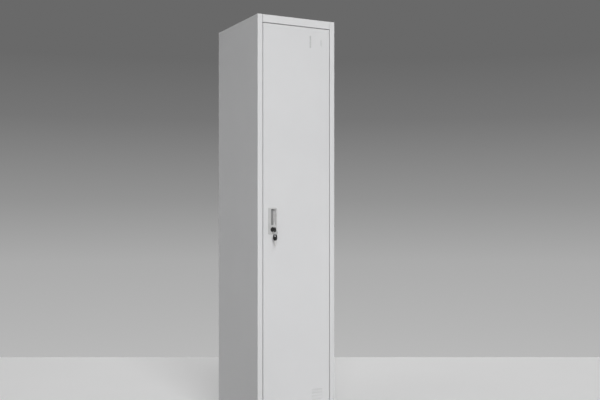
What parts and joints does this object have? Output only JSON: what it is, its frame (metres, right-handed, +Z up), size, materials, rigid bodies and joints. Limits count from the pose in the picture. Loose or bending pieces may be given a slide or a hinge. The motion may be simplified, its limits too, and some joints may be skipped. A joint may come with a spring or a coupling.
{
  "type": "metal locker",
  "caption": "Tall narrow sheet-steel clothes locker with a hinged door, recessed pull, cam lock with keys, louvres, card holder, shelf and hanging rail.",
  "frame": {"origin": "on the floor, under the middle of the whole outline, which takes in the keys that hang in front of the door", "axes": "+Z up, -Y out of the door, +X towards the hinge side"},
  "size_m": [0.38, 0.4857, 1.85],
  "materials": {
    "door_coat": "pale grey powder coat, satin, fine orange peel",
    "body_coat": "pale grey powder coat, satin, fine orange peel",
    "handle_plastic": "grey moulded plastic, satin",
    "black_plastic": "black moulded plastic, semi-gloss",
    "foot_plastic": "dark moulded plastic",
    "nylon": "natural nylon",
    "rubber": "black rubber",
    "nickel": "nickel plated",
    "zinc": "bright zinc plated",
    "chrome": "chrome plated tube"
  },
  "bodies": {
    "cabinet": {"left_side": "body_coat", "right_side": "body_coat", "back_panel": "body_coat", "top_panel": "body_coat", "bottom_panel": "body_coat", "shelf": "body_coat", "shelf_ledge_left": "body_coat", "shelf_ledge_right": "body_coat", "hanging_rail": "chrome", "rail_cup_left": "zinc", "rail_cup_right": "zinc", "buffer_lower": "rubber", "buffer_upper": "rubber", "foot_front_left": "foot_plastic", "foot_front_right": "foot_plastic", "foot_rear_left": "foot_plastic", "foot_rear_right": "foot_plastic", "top_bush": "nylon", "bottom_bush": "nylon", "pivot_washer": "nylon"},
    "door": {"door_skin": "door_coat", "door_stiffener": "door_coat", "top_pivot_bracket": "zinc", "bottom_pivot_bracket": "zinc", "top_pivot_pin": "zinc", "bottom_pivot_pin": "zinc", "handle_shell": "handle_plastic", "lock_barrel": "nickel", "lock_cap": "black_plastic", "lock_washer": "zinc", "lock_nut": "zinc"},
    "lock": {"lock_plug": "nickel", "lock_cam": "zinc", "cam_screw": "zinc"},
    "key": {"key_blade": "nickel", "key_bow": "black_plastic"},
    "ring": {"key_ring": "nickel"},
    "spare_key": {"spare_key_blade": "nickel", "spare_key_bow": "black_plastic"}
  },
  "joints": [
    {"name": "door_hinge", "type": "hinge", "parent": "cabinet", "child": "door", "pos_m": [0.1455, -0.19697, 0.075], "axis": [0, 0, 1], "range_deg": [0, 115]},
    {"name": "lock_turn", "type": "hinge", "parent": "door", "child": "lock", "pos_m": [-0.1193, -0.20697, 0.9165], "axis": [0, -1, 0], "range_deg": [0, 90]},
    {"name": "key_withdraw", "type": "slide", "parent": "lock", "child": "key", "axis": [0, -1, 0], "range_m": [0, 0.028]},
    {"name": "ring_swing", "type": "hinge", "parent": "key", "child": "ring", "pos_m": [-0.1193, -0.23337, 0.9135], "axis": [-1, 0, 0], "range_deg": [-8, 35]},
    {"name": "spare_key_swing", "type": "hinge", "parent": "ring", "child": "spare_key", "pos_m": [-0.1193, -0.23337, 0.8915], "axis": [-1, 0, 0], "range_deg": [-8, 20]}
  ]
}
